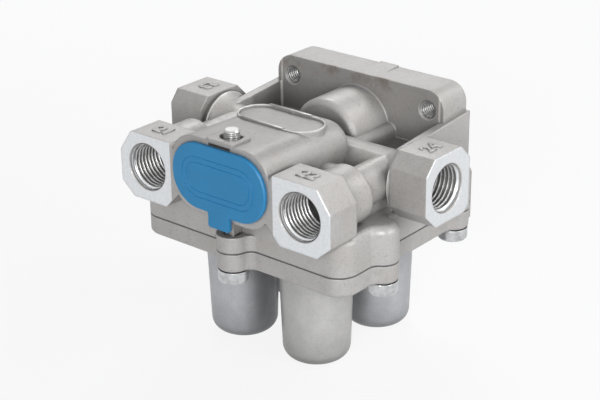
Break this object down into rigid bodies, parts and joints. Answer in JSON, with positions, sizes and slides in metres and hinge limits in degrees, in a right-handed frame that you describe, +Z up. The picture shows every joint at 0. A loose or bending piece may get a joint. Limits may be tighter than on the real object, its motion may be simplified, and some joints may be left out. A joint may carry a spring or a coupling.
{
  "type": "multi-circuit protection valve",
  "caption": "Cast aluminium protection valve: flanged inlet, threaded outlets on two sides, a supply barrel with a push-on cover and spring domes below.",
  "frame": {"origin": "centre of the outline on the floor, with the valve standing on its four spring domes", "axes": "+X to the right seen from the front ports, +Y towards the inlet flange, +Z up along the valve axes"},
  "size_m": [0.1086, 0.0851, 0.0849],
  "materials": {
    "body_casting": "as cast, fine satin grain, machined port faces",
    "housing_casting": "as cast, smooth satin",
    "screw_zinc": "bright zinc plated",
    "blue_plastic": "moulded, satin",
    "turned_aluminium": "turned",
    "pin_steel": "bright",
    "spring_steel": "oiled wire",
    "brass": "turned",
    "black_rubber": "matte"
  },
  "bodies": {
    "main": {"upper_body": "body_casting", "spring_housing": "housing_casting", "housing_screws": "screw_zinc", "front_cover": "blue_plastic", "closing_plug": "turned_aluminium", "plug_ring": "black_rubber", "locking_pin": "pin_steel", "inlet_ring": "black_rubber", "diaphragm_21": "black_rubber", "pressure_spring_21": "spring_steel", "spring_seat_21": "turned_aluminium", "diaphragm_22": "black_rubber", "pressure_spring_22": "spring_steel", "spring_seat_22": "turned_aluminium", "diaphragm_23": "black_rubber", "pressure_spring_23": "spring_steel", "spring_seat_23": "turned_aluminium", "diaphragm_24": "black_rubber", "pressure_spring_24": "spring_steel", "spring_seat_24": "turned_aluminium", "check_spring_23": "spring_steel", "check_spring_24": "spring_steel"},
    "valve_21": {"valve_head_21": "turned_aluminium", "valve_seal_21": "black_rubber", "spring_plate_21": "pin_steel"},
    "valve_22": {"valve_head_22": "turned_aluminium", "valve_seal_22": "black_rubber", "spring_plate_22": "pin_steel"},
    "valve_23": {"valve_head_23": "turned_aluminium", "valve_seal_23": "black_rubber", "spring_plate_23": "pin_steel"},
    "valve_24": {"valve_head_24": "turned_aluminium", "valve_seal_24": "black_rubber", "spring_plate_24": "pin_steel"},
    "check_23": {"check_valve_23": "brass", "check_seal_23": "black_rubber"},
    "check_24": {"check_valve_24": "brass", "check_seal_24": "black_rubber"}
  },
  "joints": [
    {"name": "valve_21_opens", "type": "slide", "parent": "main", "child": "valve_21", "axis": [0, 0, -1], "range_m": [0, 0.0025], "stiffness_N_per_m": 200, "springref_m": -0.002, "deforming": ["pressure_spring_21", "diaphragm_21"]},
    {"name": "valve_22_opens", "type": "slide", "parent": "main", "child": "valve_22", "axis": [0, 0, -1], "range_m": [0, 0.0025], "stiffness_N_per_m": 200, "springref_m": -0.002, "deforming": ["pressure_spring_22", "diaphragm_22"]},
    {"name": "valve_23_opens", "type": "slide", "parent": "main", "child": "valve_23", "axis": [0, 0, -1], "range_m": [0, 0.0025], "stiffness_N_per_m": 200, "springref_m": -0.002, "deforming": ["pressure_spring_23", "diaphragm_23"]},
    {"name": "valve_24_opens", "type": "slide", "parent": "main", "child": "valve_24", "axis": [0, 0, -1], "range_m": [0, 0.0025], "stiffness_N_per_m": 200, "springref_m": -0.002, "deforming": ["pressure_spring_24", "diaphragm_24"]},
    {"name": "check_23_opens", "type": "slide", "parent": "main", "child": "check_23", "axis": [0, -1, 0], "range_m": [0, 0.002], "stiffness_N_per_m": 50, "springref_m": -0.001, "deforming": ["check_spring_23"]},
    {"name": "check_24_opens", "type": "slide", "parent": "main", "child": "check_24", "axis": [0, -1, 0], "range_m": [0, 0.002], "stiffness_N_per_m": 50, "springref_m": -0.001, "deforming": ["check_spring_24"]}
  ]
}
